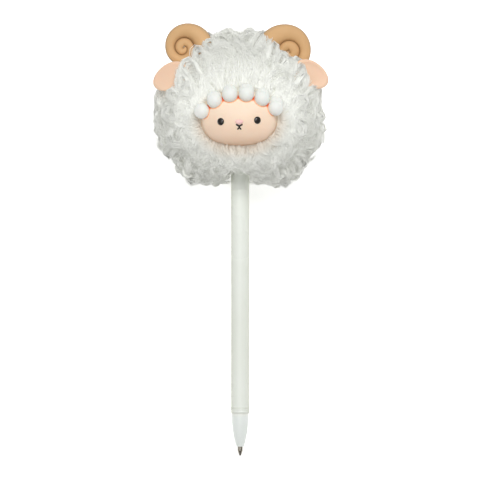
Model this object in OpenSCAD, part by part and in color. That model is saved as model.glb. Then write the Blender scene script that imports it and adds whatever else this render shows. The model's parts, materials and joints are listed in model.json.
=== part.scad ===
// ball pen with a curly fleece sheep head on its back end, lying on the back of the head, face up
// row frame: pen tip towards -Y, head towards +Y, face towards +Z, floor at z = 0
// pen frame, used by every shape below: pen axis on Z with the ball at z = 0, face towards -Y

/* [Barrel] */
// outside diameter of the white barrel
barrel_d = 8; // [7.6:0.1:9]
// wall of the barrel
barrel_wall = 1; // [0.8:0.1:1.2]
// back end of the barrel, inside the head
barrel_end_z = 143; // [138:1:148]
// how far the moulded ring at the front of the barrel stands out
barrel_ring = 0.16; // [0.1:0.02:0.2]
// diameter of the barrel inside the head
stub_d = 7.4; // [7.2:0.1:7.6]
// where the barrel narrows to go into the head
stub_z = 117.4; // [116.8:0.1:117.6]

/* [Nose cone] */
// joint line between nose cone and barrel
joint_z = 20.8; // [19:0.1:22]
// straight collar between the joint line and the shoulder
collar_l = 2.3; // [1.8:0.1:2.8]
// diameter at the shoulder where the curved cone begins
shoulder_d = 7.44; // [7.2:0.02:7.5]
// diameter of the open front end
nose_front_d = 3.2; // [3:0.05:3.6]
// length of metal point seen in front of the nose cone
point_out = 4; // [3.4:0.1:4.6]
// length of the push-in spigot inside the barrel
spigot_l = 9; // [6:1:12]

/* [Refill] */
// outside diameter of the ink tube
tube_d = 3.2; // [3:0.05:3.4]
// bore of the ink tube
tube_bore = 2; // [1.9:0.05:2.2]
// back end of the ink tube
tube_end_z = 130; // [120:1:134]
// back end of the ink
ink_end_z = 86; // [60:1:110]
// length of grease behind the ink
follower_l = 3; // [2:0.5:5]
// diameter of the metal point behind its cone
point_d = 2.2; // [2.1:0.05:2.3]
// diameter of the rolling ball
ball_d = 0.7; // [0.65:0.05:0.9]
// clearance all round the rolling ball
ball_play = 0.015; // [0.01:0.005:0.02]

/* [Head] */
// width of the fleece over the curls
head_w = 76; // [72:1:80]
// depth of the fleece over the curls
head_d = 57; // [54:1:60]
// height of the fleece over the curls
head_h = 69; // [66:1:72]
// middle of the fleece along the pen
head_z = 152; // [150:0.5:154]
// width of the soft core
core_w = 50; // [48:1:52]
// depth of the soft core
core_d = 43; // [41:0.5:44]
// height of the soft core
core_h = 46; // [44:1:48]
// flat seat for the face, in front of the middle of the core
seat_y = 19.5; // [18.5:0.5:20]

/* [Fleece] */
// number of curls laid round the head
curl_count = 54; // [50:1:64]
// radius of one curl's arch
curl_r = 4.8; // [4.4:0.1:5.4]
// thickness of a curl, as a radius
curl_t = 3.8; // [3.2:0.1:4]
// how far a curl leans over from standing up
curl_lean = 42; // [30:1:50]
// depth of the plain pile under the curl tops
pile_drop = 3; // [2.4:0.1:3.4]
// how squarely the lower half fills out
low_fill = 3; // [2.4:0.1:3.4]
// how squarely the upper half fills out
high_fill = 2.1; // [2:0.1:2.4]
// how far the fleece is pressed flat where it rests
settle = 4; // [3.6:0.1:4.6]

/* [Face] */
// width of the moulded face
face_w = 34.6; // [33:0.1:37]
// height of the moulded face
face_h = 24.6; // [23:0.2:26]
// middle of the face to the side of the pen axis
face_x = -0.5; // [-2:0.1:0]
// middle of the face in front of the pen axis
face_y = -21.2; // [-22:0.1:-20.6]
// middle of the face along the pen
face_z = 148.5; // [147:0.5:150]
// width of one eye
eye_w = 2.8; // [2.4:0.1:3.2]
// height of one eye
eye_h = 3.1; // [2.8:0.1:3.6]
// distance between the eyes
eye_gap = 16.2; // [14:0.2:18]
// width of the nose button
button_w = 3.3; // [2.8:0.1:3.8]
// height of the nose button
button_h = 2; // [1.6:0.1:2.4]
// thickness of the mouth lines
mouth_line = 0.55; // [0.4:0.05:0.7]
// width of the mouth
mouth_w = 3; // [2.4:0.1:3.6]

/* [Fringe] */
// radius of one bead
bead_r = 3.35; // [3:0.05:3.5]
// number of beads along the brow
bead_count = 6; // [4:1:7]
// radius of the arch the beads lie on
fringe_r = 22.4; // [21.8:0.1:23]
// angle between neighbouring beads
bead_step = 18.5; // [17.8:0.1:19.2]
// turn of the arch towards the left of the face
fringe_turn = 2.4; // [0:0.1:4]
// middle of the arch in front of the pen axis
bead_y = -29.7; // [-30:0.1:-29.2]

/* [Horns] */
// outer radius of the spiral where it meets the head
horn_r = 13.3; // [12:0.1:14]
// how much the spiral shrinks over one turn
horn_turn = 2.45; // [2.2:0.05:2.6]
// depth of the horn as a share of its width
horn_deep = 0.92; // [0.8:0.02:1.1]
// middle of the horns in front of the pen axis
horn_y = -6; // [-8:0.5:-4]

/* [Ears] */
// length of an ear
ear_l = 17; // [15:0.5:19]
// breadth of an ear
ear_b = 12.3; // [11:0.1:13.5]
// thickness of an ear
ear_t = 3.2; // [2.6:0.2:3.8]
// droop of the ears
ear_droop = 25; // [15:1:35]
// turn of the ears along the side of the head
ear_turn = 25; // [15:1:32]

/* [Fits] */
// clearance between pressed or glued pieces
fit_gap = 0.03; // [0.02:0.01:0.06]
// clearance between fleece and the pieces set into it
soft_gap = 0.3; // [0.2:0.05:0.4]

/* [Hidden] */
$fn = 48;
joined = 0.01;
barrel_r = barrel_d / 2;
bore_r = barrel_r - barrel_wall;
shoulder_z = joint_z - collar_l;
shoulder_r = shoulder_d / 2;
nose_front_r = nose_front_d / 2;
collar_r = barrel_r - 0.17;
ring_l = 0.7;
bevel = 0.3;
stub_r = stub_d / 2;
arc_z = shoulder_z - 1;
arc_l = arc_z - point_out;
arc_d = shoulder_r - nose_front_r;
arc_r = (arc_l * arc_l + arc_d * arc_d) / (2 * arc_d);
arc_a = asin(arc_l / arc_r);

ball_r = ball_d / 2;
point_r = point_d / 2;
tube_r = tube_d / 2;
tube_bore_r = tube_bore / 2;
holder_z = 9.5;
holder_l = 2.5;
tube_z = holder_z + holder_l;
plug_l = 5;
shank_r = 0.72;
shank_l = 5.5;
cone_z = 2.2;
lip_z = 0.15;
lip_r = 0.36;
channel_r = 0.2;
cap_t = 1.5;
cap_end_z = barrel_end_z + cap_t;

half_w = head_w / 2;
half_d = head_d / 2;
half_h = head_h / 2;
core_z = head_z - 1;
core_a = [core_w / 2, core_d / 2, core_h / 2];
pile_fn = 28;
pocket_gap = core_w * (1 - cos(180 / pile_fn)) + fit_gap;

face_a = face_w / 2;
face_r = face_h / 2;
spindle_steps = 16;
seat_peg_r = 4;
seat_peg_l = 4;
eye_z = face_z - 1.2;
eye_turn = 20;
roll = 2.4;
mouth_z = eye_z - 2.4;
mouth_slope = asin((face_z - mouth_z) / face_r);
mouth_y = face_y - face_r * cos(mouth_slope);
mouth_t = 0.8;
mouth_out = 0.1;
fringe_x = face_x + 0.5;
fringe_z = face_z - 11.4;
fringe_curve = 5;
web_r = 1.6;
lobe_out = 1.1;
lobe_back = 1.8;

golden = 137.508;
curl_sides = 8;
curl_steps = 7;
curl_dip = -25;
curl_sweep = 230;
curl_deep = curl_r * cos(curl_lean) * 0.85 + curl_t;
horn_k = ln(horn_turn) / 360;
horn_start = -45;
horn_end = 780;
horn_steps = 26;
horn_close = 600;
horn_fade = 330;
horn_narrow = 0.95;
horn_fn = 12;
horn_left_at = [-24.9, horn_y, 179.3];
horn_right_at = [22.6, horn_y, 178.4];
horn_peg_r = 2.2;
horn_peg_x = 9.2;
horn_peg_in = 14.6;
ear_left_at = [-30.3, -12.5, 166.4];
ear_right_at = [30.6, -12.5, 168];
ear_peg_r = 1.6;
ear_peg_x = 15;
ear_clear = 9.5;
ear_bend = 24;

// lowest point of the fleece and of the nose cone for a lean t, and the lean at which both touch
hold = low_fill / (low_fill - 1);
function fleece_reach(t) = pow(pow(half_d * cos(t), hold) + pow(half_h * sin(t), hold), 1 / hold);
function fleece_low(t) = head_z * sin(t) - fleece_reach(t) + settle;
function nose_low(t) = arc_z * sin(t) - (shoulder_r - arc_r) * cos(t) - arc_r;
function lean_for(lo, hi, n) =
    let (mid = (lo + hi) / 2)
    n == 0 ? mid
    : fleece_low(mid) > nose_low(mid) ? lean_for(lo, mid, n - 1) : lean_for(mid, hi, n - 1);
rest_lean = lean_for(2, 16, 30);
rest_lift = -nose_low(rest_lean);
rest_shift = (head_z - half_h / 3) * cos(rest_lean) + half_d * sin(rest_lean);

// from the pen frame to the row frame
module lay() {
    translate([0, -rest_shift, rest_lift])
        rotate([rest_lean - 90, 0, 0])
            children();
}

module tube_between(z0, z1, r_out, r_in) {
    translate([0, 0, z0])
        difference() {
            cylinder(h = z1 - z0, r = r_out);
            translate([0, 0, -1])
                cylinder(h = z1 - z0 + 2, r = r_in);
        }
}

// round rod from point p to point q
module rod(p, q, r) {
    v = q - p;
    translate(p)
        rotate([0, acos(v[2] / norm(v)), atan2(v[1], v[0])])
            cylinder(h = norm(v), r = r);
}

module egg(a) {
    scale([a[0], a[1], a[2]])
        sphere(r = 1);
}

// egg turned about Z, l from middle to end and r at the waist
module spindle(l, r, steps) {
    rotate_extrude()
        polygon([for (i = [0 : steps]) let (a = 180 * i / steps - 90) [r * cos(a), l * sin(a)]]);
}

// The pen itself
module barrel() {
    color([0.93, 0.94, 0.92])
        lay()
            rotate_extrude()
                polygon([
                    [bore_r, joint_z],
                    [collar_r, joint_z],
                    [barrel_r + barrel_ring, joint_z + ring_l / 2],
                    [barrel_r, joint_z + ring_l],
                    [barrel_r, stub_z - bevel],
                    [stub_r, stub_z],
                    [stub_r, barrel_end_z],
                    [bore_r, barrel_end_z]
                ]);
}

function nose_arc(i, n) =
    let (a = arc_a * i / n)
    [shoulder_r - arc_r + arc_r * cos(a), arc_z - arc_r * sin(a)];

module nose_cone() {
    steps = 12;
    bore_front_r = point_r + fit_gap;
    bore_back_r = tube_r + 0.1;
    color([0.9, 0.92, 0.91])
        lay()
            rotate_extrude()
                polygon(concat(
                    [
                        [bore_back_r, joint_z + spigot_l],
                        [bore_r - 0.3, joint_z + spigot_l],
                        [bore_r - fit_gap, joint_z + spigot_l - 0.6],
                        [bore_r - fit_gap, joint_z],
                        [collar_r, joint_z],
                        [collar_r, shoulder_z],
                        [shoulder_r, shoulder_z]
                    ],
                    [for (i = [0 : steps]) nose_arc(i, steps)],
                    [
                        [bore_front_r, point_out],
                        [bore_front_r, holder_z],
                        [bore_back_r, holder_z]
                    ]
                ));
}

module refill_tube() {
    color([0.86, 0.88, 0.88])
        lay()
            tube_between(tube_z, tube_end_z, tube_r, tube_bore_r);
}

module ink_column() {
    color([0.08, 0.08, 0.1])
        lay()
            translate([0, 0, tube_z + plug_l])
                cylinder(h = ink_end_z - tube_z - plug_l, r = tube_bore_r - fit_gap);
}

module grease_follower() {
    color([0.85, 0.8, 0.6])
        lay()
            translate([0, 0, ink_end_z])
                cylinder(h = follower_l, r = tube_bore_r - fit_gap);
}

module tip_holder() {
    color([0.88, 0.88, 0.86])
        lay()
            difference() {
                union() {
                    translate([0, 0, holder_z])
                        cylinder(h = holder_l, r = tube_r);
                    translate([0, 0, tube_z - joined])
                        cylinder(h = plug_l + joined, r = tube_bore_r - fit_gap);
                }
                translate([0, 0, holder_z - 1])
                    cylinder(h = holder_l + plug_l + 2, r = shank_r + fit_gap);
            }
}

module writing_point() {
    color([0.62, 0.6, 0.57])
        lay()
            difference() {
                rotate_extrude()
                    polygon([
                        [0, lip_z],
                        [lip_r, lip_z],
                        [point_r, cone_z],
                        [point_r, holder_z],
                        [shank_r, holder_z],
                        [shank_r, holder_z + shank_l],
                        [0, holder_z + shank_l]
                    ]);
                translate([0, 0, ball_r])
                    sphere(r = ball_r + ball_play);
                cylinder(h = holder_z + shank_l + 1, r = channel_r);
            }
}

module tip_ball() {
    color([0.5, 0.5, 0.5])
        lay()
            translate([0, 0, ball_r])
                sphere(r = ball_r);
}

module barrel_plug() {
    color([0.93, 0.94, 0.92])
        lay() {
            translate([0, 0, barrel_end_z])
                cylinder(h = cap_t, r = stub_r);
            translate([0, 0, barrel_end_z - 6])
                cylinder(h = 6 + joined, r = bore_r - fit_gap);
            translate([0, 0, tube_end_z])
                cylinder(h = barrel_end_z - tube_end_z, r = tube_r);
        }
}

// The head of the pen
module core_egg(gap) {
    translate([0, 0, core_z])
        egg([core_a[0] + gap, core_a[1] + gap, core_a[2] + gap]);
}

module seat_peg(gap) {
    translate([face_x, -seat_y + seat_peg_l + gap, face_z])
        rotate([90, 0, 0])
            cylinder(h = seat_peg_l + gap + 1, r = seat_peg_r + gap);
}

module head_core() {
    color([0.93, 0.92, 0.88])
        lay()
            difference() {
                core_egg(0);
                translate([-core_w, -seat_y - core_d, core_z - core_h])
                    cube([2 * core_w, core_d, 2 * core_h]);
                seat_peg(fit_gap);
                translate([0, 0, core_z - core_h])
                    cylinder(h = cap_end_z - core_z + core_h, r = stub_r + fit_gap);
                horn_peg(horn_left_at, 1, fit_gap);
                horn_peg(horn_right_at, -1, fit_gap);
                ear_peg(ear_left_at, 1, fit_gap);
                ear_peg(ear_right_at, -1, fit_gap);
            }
}

// skin through a row of rings with the same number of points, closed at both ends
module ring_sweep(rings) {
    n = len(rings[0]);
    last = len(rings) - 1;
    polyhedron(
        points = [for (ring = rings) for (p = ring) p],
        faces = concat(
            [[for (j = [0 : n - 1]) j]],
            [
                for (k = [0 : last - 1])
                    for (j = [0 : n - 1])
                        let (a = k * n + j, b = k * n + (j + 1) % n)
                            each [[a, a + n, b], [b, a + n, b + n]]
            ],
            [[for (j = [n - 1 : -1 : 0]) last * n + j]]
        )
    );
}

// one fleece curl: an arch rising from the pile and leaning over it
function curl_ring(r, t, sweep, s) =
    let (a = curl_dip + sweep * s, w = t * (0.72 + 0.36 * sin(180 * s)))
    [
        for (j = [0 : curl_sides - 1])
            let (b = 360 * j / curl_sides, u = r + w * cos(b))
                [u * cos(a), w * sin(b), u * sin(a)]
    ];

module curl(r, t, lean, sweep) {
    rotate([lean, 0, 0])
        ring_sweep([for (k = [0 : curl_steps]) curl_ring(r, t, sweep, k / curl_steps)]);
}

function fill_at(h) = h < 0 ? low_fill : high_fill;
function round_part(d, drop) = norm([d[0] / (half_w - drop), d[1] / (half_d - drop)]);
function span(d, drop) =
    let (n = fill_at(d[2]))
    pow(pow(round_part(d, drop), n) + pow(abs(d[2]) / (half_h - drop), n), -1 / n);
function curl_dir(i) =
    let (h = 1 - 2 * (i + 0.5) / curl_count, a = i * golden, s = sqrt(1 - h * h))
    [s * cos(a), s * sin(a), h];
function out_of(p) =
    let (
        n = fill_at(p[2]),
        r = pow(round_part(p, 0), n - 2),
        g = [
            r * p[0] / pow(half_w, 2),
            r * p[1] / pow(half_d, 2),
            sign(p[2]) * pow(abs(p[2]) / half_h, n - 1) / half_h
        ]
    )
    g / norm(g);

// curls are left out where the face covers the fleece, over the ears and where it is pressed flat
function in_face(p) = p[1] < 0 && norm([(p[0] - face_x) / face_a, (p[2] + head_z - face_z) / face_r]) < 0.95;
function near_ear(p) =
    let (q = p + [0, 0, head_z])
    min(norm(q - ear_left_at), norm(q - ear_right_at)) < ear_clear;
function in_rest(p) = p[1] > 0 && p[2] < 5 && norm([p[0], p[2] + half_h / 3]) < 13;

module curl_at(p, i) {
    out = out_of(p);
    side = cross(out, [cos(i * 97), sin(i * 97), sin(i * 61)]);
    e1 = side / norm(side);
    e2 = cross(out, e1);
    translate([0, 0, head_z])
        multmatrix([
            [e1[0], e2[0], out[0], p[0]],
            [e1[1], e2[1], out[1], p[1]],
            [e1[2], e2[2], out[2], p[2]],
            [0, 0, 0, 1]
        ])
            curl(curl_r * (1 + 0.12 * sin(i * 71)), curl_t, curl_lean + 18 * sin(i * 113), curl_sweep);
}

function pile_point(a) =
    let (n = fill_at(sin(a)), w = half_w - pile_drop, h = half_h - pile_drop)
    [w * pow(cos(a), 2 / n), sign(sin(a)) * h * pow(abs(sin(a)), 2 / n)];

module pile() {
    steps = 14;
    translate([0, 0, head_z])
        scale([1, (half_d - pile_drop) / (half_w - pile_drop), 1])
            rotate_extrude($fn = pile_fn)
                polygon(concat(
                    [[0, pile_drop - half_h]],
                    [for (i = [1 : steps - 1]) pile_point(-90 + 180 * i / steps)],
                    [[0, half_h - pile_drop]]
                ));
}

module fleece_cover() {
    color([0.95, 0.95, 0.93])
        difference() {
            lay()
                difference() {
                    union() {
                        pile();
                        for (i = [0 : curl_count - 1])
                            let (d = curl_dir(i), p = d * span(d, curl_deep))
                                if (!in_face(p) && !in_rest(p) && !near_ear(p))
                                    curl_at(p, i);
                    }
                    core_egg(pocket_gap, $fn = pile_fn);
                    face_form(soft_gap, $fn = pile_fn);
                    face_way($fn = pile_fn);
                    fringe_form(soft_gap, $fn = 14);
                    horn_way(horn_left_at, 1);
                    horn_way(horn_right_at, -1);
                    horn_peg(horn_left_at, 1, soft_gap, $fn = 12);
                    horn_peg(horn_right_at, -1, soft_gap, $fn = 12);
                    ear_way(ear_left_at, 1);
                    ear_way(ear_right_at, -1);
                    cylinder(h = stub_z, r = barrel_r + soft_gap, $fn = 24);
                    cylinder(h = head_z, r = stub_r + soft_gap, $fn = 24);
                }
            translate([-head_w, -head_h, -head_h])
                cube([2 * head_w, 2 * head_h, head_h]);
        }
}

// The face and its pieces
module face_form(gap) {
    translate([face_x, face_y, face_z])
        rotate([0, 90, 0])
            spindle(face_a + gap, face_r + gap, spindle_steps);
}

module face_way() {
    translate([face_x, face_y, face_z])
        scale([face_a, 1, face_r])
            rotate([90, 0, 0])
                cylinder(h = head_d / 2, r = 1);
}

module face() {
    color([0.98, 0.85, 0.74])
        lay()
            difference() {
                union() {
                    difference() {
                        face_form(0, $fn = 30);
                        translate([-face_w, -seat_y, face_z - face_h])
                            cube([2 * face_w, face_h, 2 * face_h]);
                    }
                    seat_peg(0);
                }
                fringe_way(soft_gap);
                eye_form(-1, 2 * fit_gap, $fn = 16);
                eye_form(1, 2 * fit_gap, $fn = 16);
                button_form(2 * fit_gap, $fn = 16);
                mouth_bars(fit_gap, $fn = 12);
            }
}

eye_y = face_y - face_r * sqrt(1 - pow(eye_gap / face_w, 2)) + 0.6;
function eye_at(s) = [face_x + 0.1 + s * eye_gap / 2, eye_y, eye_z + s * eye_gap / 2 * sin(roll)];

module eye_form(s, gap) {
    translate(eye_at(s))
        rotate([0, 0, eye_turn * s]) {
            egg([eye_w / 2 + gap, 1.3 + gap, eye_h / 2 + gap]);
            rotate([-90, 0, 0])
                cylinder(h = 3 + gap, r = 0.7 + gap);
        }
}

module eye_left() {
    color([0.1, 0.09, 0.09])
        lay()
            eye_form(-1, 0);
}

module eye_right() {
    color([0.1, 0.09, 0.09])
        lay()
            eye_form(1, 0);
}

module button_form(gap) {
    translate([face_x + 0.1, face_y - face_r + 0.5, eye_z - 0.3]) {
        egg([button_w / 2 + gap, 1 + gap, button_h / 2 + gap]);
        rotate([-90, 0, 0])
            cylinder(h = 2.4 + gap, r = 0.6 + gap);
    }
}

module nose_button() {
    color([0.96, 0.74, 0.72])
        lay()
            button_form(0);
}

// one mouth line between two points in the plane that touches the face at the mouth
module mouth_bar(p, q, gap) {
    v = q - p;
    r = mouth_line / 2 + gap;
    h = mouth_t + gap;
    translate([face_x + 0.2, mouth_y, mouth_z])
        rotate([90 + mouth_slope, 0, 0])
            translate([p[0], p[1], mouth_out - h]) {
                rotate([0, 0, atan2(v[1], v[0])])
                    translate([0, -r, 0])
                        cube([norm(v), 2 * r, h]);
                cylinder(h = h, r = r);
                translate([v[0], v[1], 0])
                    cylinder(h = h, r = r);
            }
}

module mouth_bars(gap) {
    mouth_bar([-mouth_w / 2, 1], [0, -0.25], gap);
    mouth_bar([mouth_w / 2, 1], [0, -0.25], gap);
    mouth_bar([0, -0.25], [-mouth_w * 0.28, -1.5], gap);
    mouth_bar([0, -0.25], [mouth_w * 0.28, -1.5], gap);
}

module mouth() {
    color([0.1, 0.09, 0.09])
        lay()
            mouth_bars(0);
}

// a bead has a front lobe and, a little further out, a back lobe
function bead_a(i) = (i - (bead_count - 1) / 2) * bead_step - fringe_turn;
function lobe_at(i, r, back) =
    let (a = bead_a(i))
    [fringe_x + r * sin(a), bead_y + fringe_curve * pow(sin(a), 2) + back, fringe_z + r * cos(a)];
function front_lobe(i) = lobe_at(i, fringe_r, 0);
function back_lobe(i) = lobe_at(i, fringe_r + lobe_out, lobe_back);

module fringe_form(gap) {
    for (i = [0 : bead_count - 1]) {
        translate(front_lobe(i))
            sphere(r = bead_r + gap);
        translate(back_lobe(i))
            sphere(r = bead_r + gap);
    }
    for (i = [0 : bead_count - 2])
        rod(back_lobe(i), back_lobe(i + 1), web_r + gap);
}

// recess for the fringe: each bead with its backing, and the webs between them
module fringe_way(gap) {
    for (i = [0 : bead_count - 1])
        hull() {
            translate(front_lobe(i))
                sphere(r = bead_r + gap, $fn = 14);
            translate(back_lobe(i))
                sphere(r = bead_r + gap, $fn = 14);
        }
    for (i = [0 : bead_count - 2])
        hull() {
            translate(back_lobe(i))
                sphere(r = web_r + 0.1 + gap, $fn = 10);
            translate(back_lobe(i + 1))
                sphere(r = web_r + 0.1 + gap, $fn = 10);
        }
}

module fringe() {
    color([0.93, 0.95, 0.94])
        lay()
            fringe_form(0);
}

// The ears: s is 1 on the left of the face and -1 on its right
module ear_pose(at, s) {
    translate(at)
        scale([s, 1, 1])
            rotate([0, 0, -ear_turn])
                rotate([0, -ear_droop, 0])
                    children();
}

module ear_peg(at, s, gap) {
    rod(at + [3 * s, 0.4, 0], [-ear_peg_x * s, -3, at[2] - 6], ear_peg_r + gap);
}

// cupped leaf between two bent sheets
module ear_blade(gap) {
    intersection() {
        rotate([0, 90, 0])
            spindle(ear_l / 2 + gap, ear_b / 2 + gap, 16);
        translate([0, -ear_bend, 0])
            difference() {
                sphere(r = ear_bend + ear_t / 2 + gap, $fn = 96);
                sphere(r = ear_bend - ear_t / 2 - gap, $fn = 96);
            }
    }
}

module ear_solid(at, s) {
    ear_pose(at, s)
        ear_blade(0);
    ear_peg(at, s, 0);
}

// room for an ear in the fleece
module ear_way(at, s) {
    ear_pose(at, s)
        translate([0, -0.6, 0])
            egg([ear_l / 2 + 3 * soft_gap, ear_t / 2 + 2, ear_b / 2 + 4 * soft_gap], $fn = 20);
    ear_peg(at, s, soft_gap, $fn = 12);
}

module ear_left() {
    color([0.94, 0.81, 0.7])
        lay()
            ear_solid(ear_left_at, 1);
}

module ear_right() {
    color([0.94, 0.81, 0.7])
        lay()
            ear_solid(ear_right_at, -1);
}

// The horns
// outer and inner edge of the coil at an angle; its last turn closes on the middle
function horn_out(a) = horn_r * exp(-horn_k * a) * (1 - max(0, a - horn_close) / horn_fade);
function horn_in(a) = a + 360 > horn_end ? 0 : horn_out(a + 360);
function horn_mid(a) = (horn_out(a) + horn_in(a)) / 2;
function horn_half(a) = (horn_out(a) - horn_in(a)) / 2;

module horn_disc(a, gap) {
    translate([horn_mid(a) * cos(a) * horn_narrow, 0, horn_mid(a) * sin(a)])
        rotate([0, -a, 0])
            scale([1, horn_deep, 1])
                cylinder(h = joined, r = horn_half(a) * 1.04 + gap, center = true);
}

module horn_form(at, s) {
    turn = (horn_end - horn_start) / horn_steps;
    translate(at)
        scale([s, 1, 1])
            for (k = [0 : horn_steps - 1])
                hull() {
                    horn_disc(horn_start + turn * k, 0, $fn = horn_fn);
                    horn_disc(horn_start + turn * (k + 1), 0, $fn = horn_fn);
                }
}

// room for a horn in the fleece: its outer turn in wide steps and a plain middle
module horn_way(at, s) {
    wide = soft_gap + 0.45;
    translate(at)
        scale([s, 1, 1]) {
            for (a = [horn_start : 30 : 290])
                hull() {
                    horn_disc(a, wide, $fn = 10);
                    horn_disc(a + 30, wide, $fn = 10);
                }
            egg([horn_out(290), horn_half(0) * horn_deep, horn_out(290)], $fn = 16);
        }
}

module horn_peg(at, s, gap) {
    rod(at + [horn_peg_x * s, 0, -3], [at[0] + horn_peg_in * s, horn_y + 2, core_z + core_h / 4], horn_peg_r + gap);
}

module horn_solid(at, s) {
    difference() {
        horn_form(at, s);
        core_egg(pocket_gap, $fn = pile_fn);
    }
    horn_peg(at, s, 0, $fn = 16);
}

module horn_left() {
    color([0.82, 0.67, 0.48])
        lay()
            horn_solid(horn_left_at, 1);
}

module horn_right() {
    color([0.82, 0.67, 0.48])
        lay()
            horn_solid(horn_right_at, -1);
}

barrel();
nose_cone();
refill_tube();
ink_column();
grease_follower();
tip_holder();
writing_point();
tip_ball();
barrel_plug();
head_core();
fleece_cover();
face();
fringe();
eye_left();
eye_right();
nose_button();
mouth();
ear_left();
ear_right();
horn_left();
horn_right();
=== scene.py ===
import json
import math

import bmesh
import bpy
import numpy as np
from mathutils import Matrix, Vector

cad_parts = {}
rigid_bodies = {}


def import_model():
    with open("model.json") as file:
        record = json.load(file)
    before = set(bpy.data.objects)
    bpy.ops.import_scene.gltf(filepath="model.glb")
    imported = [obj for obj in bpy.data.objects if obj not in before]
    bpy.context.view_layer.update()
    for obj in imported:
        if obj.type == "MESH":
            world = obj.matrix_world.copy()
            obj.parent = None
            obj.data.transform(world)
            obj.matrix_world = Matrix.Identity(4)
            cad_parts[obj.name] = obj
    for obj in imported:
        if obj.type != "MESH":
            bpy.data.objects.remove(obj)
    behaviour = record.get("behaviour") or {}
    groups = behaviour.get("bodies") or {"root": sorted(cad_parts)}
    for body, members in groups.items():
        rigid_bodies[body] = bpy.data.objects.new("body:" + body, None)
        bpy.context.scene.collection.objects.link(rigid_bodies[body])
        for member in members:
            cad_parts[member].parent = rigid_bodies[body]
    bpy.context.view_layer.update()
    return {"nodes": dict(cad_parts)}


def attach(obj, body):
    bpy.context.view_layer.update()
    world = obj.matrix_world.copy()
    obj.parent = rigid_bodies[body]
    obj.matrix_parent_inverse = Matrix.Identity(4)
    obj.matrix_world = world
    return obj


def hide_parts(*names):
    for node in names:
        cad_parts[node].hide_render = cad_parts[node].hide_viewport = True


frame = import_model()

cadNodes = frame["nodes"]
rng = np.random.default_rng(11)
print("frame loaded:", len(cadNodes), "solids")

# How the pen lies on the table: degrees, then millimetres
pose = {"lean": 9.19832, "lift": 1.44111, "shift": 143.249}
lean = math.radians(pose["lean"])
# The way the sheep's face looks, square to the barrel
faceWay = (0.0, -math.sin(lean), math.cos(lean))


# Pen millimetres (point at 0, barrel along +z, face towards -y) to metres on the table
def layDown(points):
    p = np.asarray(points, float)
    x, y, z = p[..., 0], p[..., 1], p[..., 2]
    along = z * math.cos(lean) + y * math.sin(lean) - pose["shift"]
    up = z * math.sin(lean) - y * math.cos(lean) + pose["lift"]
    return np.stack([x, along, up], -1) * 0.001


def unit(v):
    v = np.asarray(v, float)
    return v / np.maximum(np.linalg.norm(v, axis=-1, keepdims=True), 1e-9)


# One shader socket that takes Python arithmetic
class Level:
    def __init__(self, finish, socket):
        self.finish, self.socket = finish, socket

    def worked(self, operation, *values):
        return self.finish.add("Math", {"operation": operation}, dict(enumerate(values)))

    def __add__(self, other):
        return self.worked("ADD", self, other)

    def __radd__(self, other):
        return self.worked("ADD", other, self)

    def __sub__(self, other):
        return self.worked("SUBTRACT", self, other)

    def __rsub__(self, other):
        return self.worked("SUBTRACT", other, self)

    def __mul__(self, other):
        return self.worked("MULTIPLY", self, other)

    def __rmul__(self, other):
        return self.worked("MULTIPLY", other, self)


# A material and the nodes in it
class Finish:
    def __init__(self, name):
        self.material = bpy.data.materials.new(name)
        self.material.use_nodes = True
        self.tree = self.material.node_tree
        self.tree.nodes.clear()

    def add(self, kind, settings=None, inputs=None, output=0):
        node = self.tree.nodes.new("ShaderNode" + kind)
        for key, value in (settings or {}).items():
            setattr(node, key, value)
        for key, value in (inputs or {}).items():
            if isinstance(value, Level):
                self.tree.links.new(value.socket, node.inputs[key])
            else:
                node.inputs[key].default_value = value
        return Level(self, node.outputs[output]) if node.outputs else None

    def place(self):
        return self.add("TexCoord", output=3)

    def noise(self, scale, detail=2.0, rough=0.5, at=None):
        inputs = {"Vector": at or self.place(), "Scale": scale, "Detail": detail, "Roughness": rough}
        return self.add("TexNoise", {}, inputs)

    # How far the surface is from a point of the pen, measured with a scale for each direction
    def far(self, point, scale):
        middle = tuple(layDown(point))
        offset = self.add("VectorMath", {"operation": "SUBTRACT"}, {0: self.place(), 1: middle})
        offset = self.add("VectorMath", {"operation": "MULTIPLY"}, {0: offset, 1: scale})
        return self.add("VectorMath", {"operation": "LENGTH"}, {0: offset}, output=1)

    def stretched(self, scale):
        return self.add("Mapping", {}, {"Vector": self.place(), "Scale": scale})

    # 0 on skin that looks the way the face does, more as it turns away from that; the mask for painted shade
    def shadeTurnedAway(self, low, high):
        inputs = {0: self.add("NewGeometry", output=1), 1: faceWay}
        look = self.add("VectorMath", {"operation": "DOT_PRODUCT"}, inputs, output=1)
        return self.limits(1 - look, low, high)

    def limits(self, value, low, high, toLow=0.0, toHigh=1.0):
        inputs = {"Value": value, "From Min": low, "From Max": high, "To Min": toLow, "To Max": toHigh}
        return self.add("MapRange", {"interpolation_type": "SMOOTHSTEP"}, inputs)

    def blend(self, amount, first, second):
        return self.add("Mix", {"data_type": "RGBA"}, {0: amount, 6: first, 7: second}, output=2)

    def bump(self, height, strength, distance):
        return self.add("Bump", {}, {"Height": height, "Strength": strength, "Distance": distance})

    # Ends the material with its surface, whose sockets are given with _ for a space
    def close(self, **sockets):
        names = {key.replace("_", " "): value for key, value in sockets.items()}
        self.add("OutputMaterial", {}, {"Surface": self.add("BsdfPrincipled", {}, names)})
        return self.material


# An sRGB colour of 0 to 255 as the linear colour a socket takes
def paint(red, green, blue):
    def linear(c):
        c = c / 255
        return c / 12.92 if c <= 0.04045 else ((c + 0.055) / 1.055) ** 2.4
    return (linear(red), linear(green), linear(blue), 1.0)


# How light glances off hard white plastic and sinks a little into it
hardWhite = {"Specular_IOR_Level": 0.42, "Subsurface_Weight": 0.08, "Subsurface_Radius": (0.9, 1.0, 0.85),
             "Subsurface_Scale": 0.0012}
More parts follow.
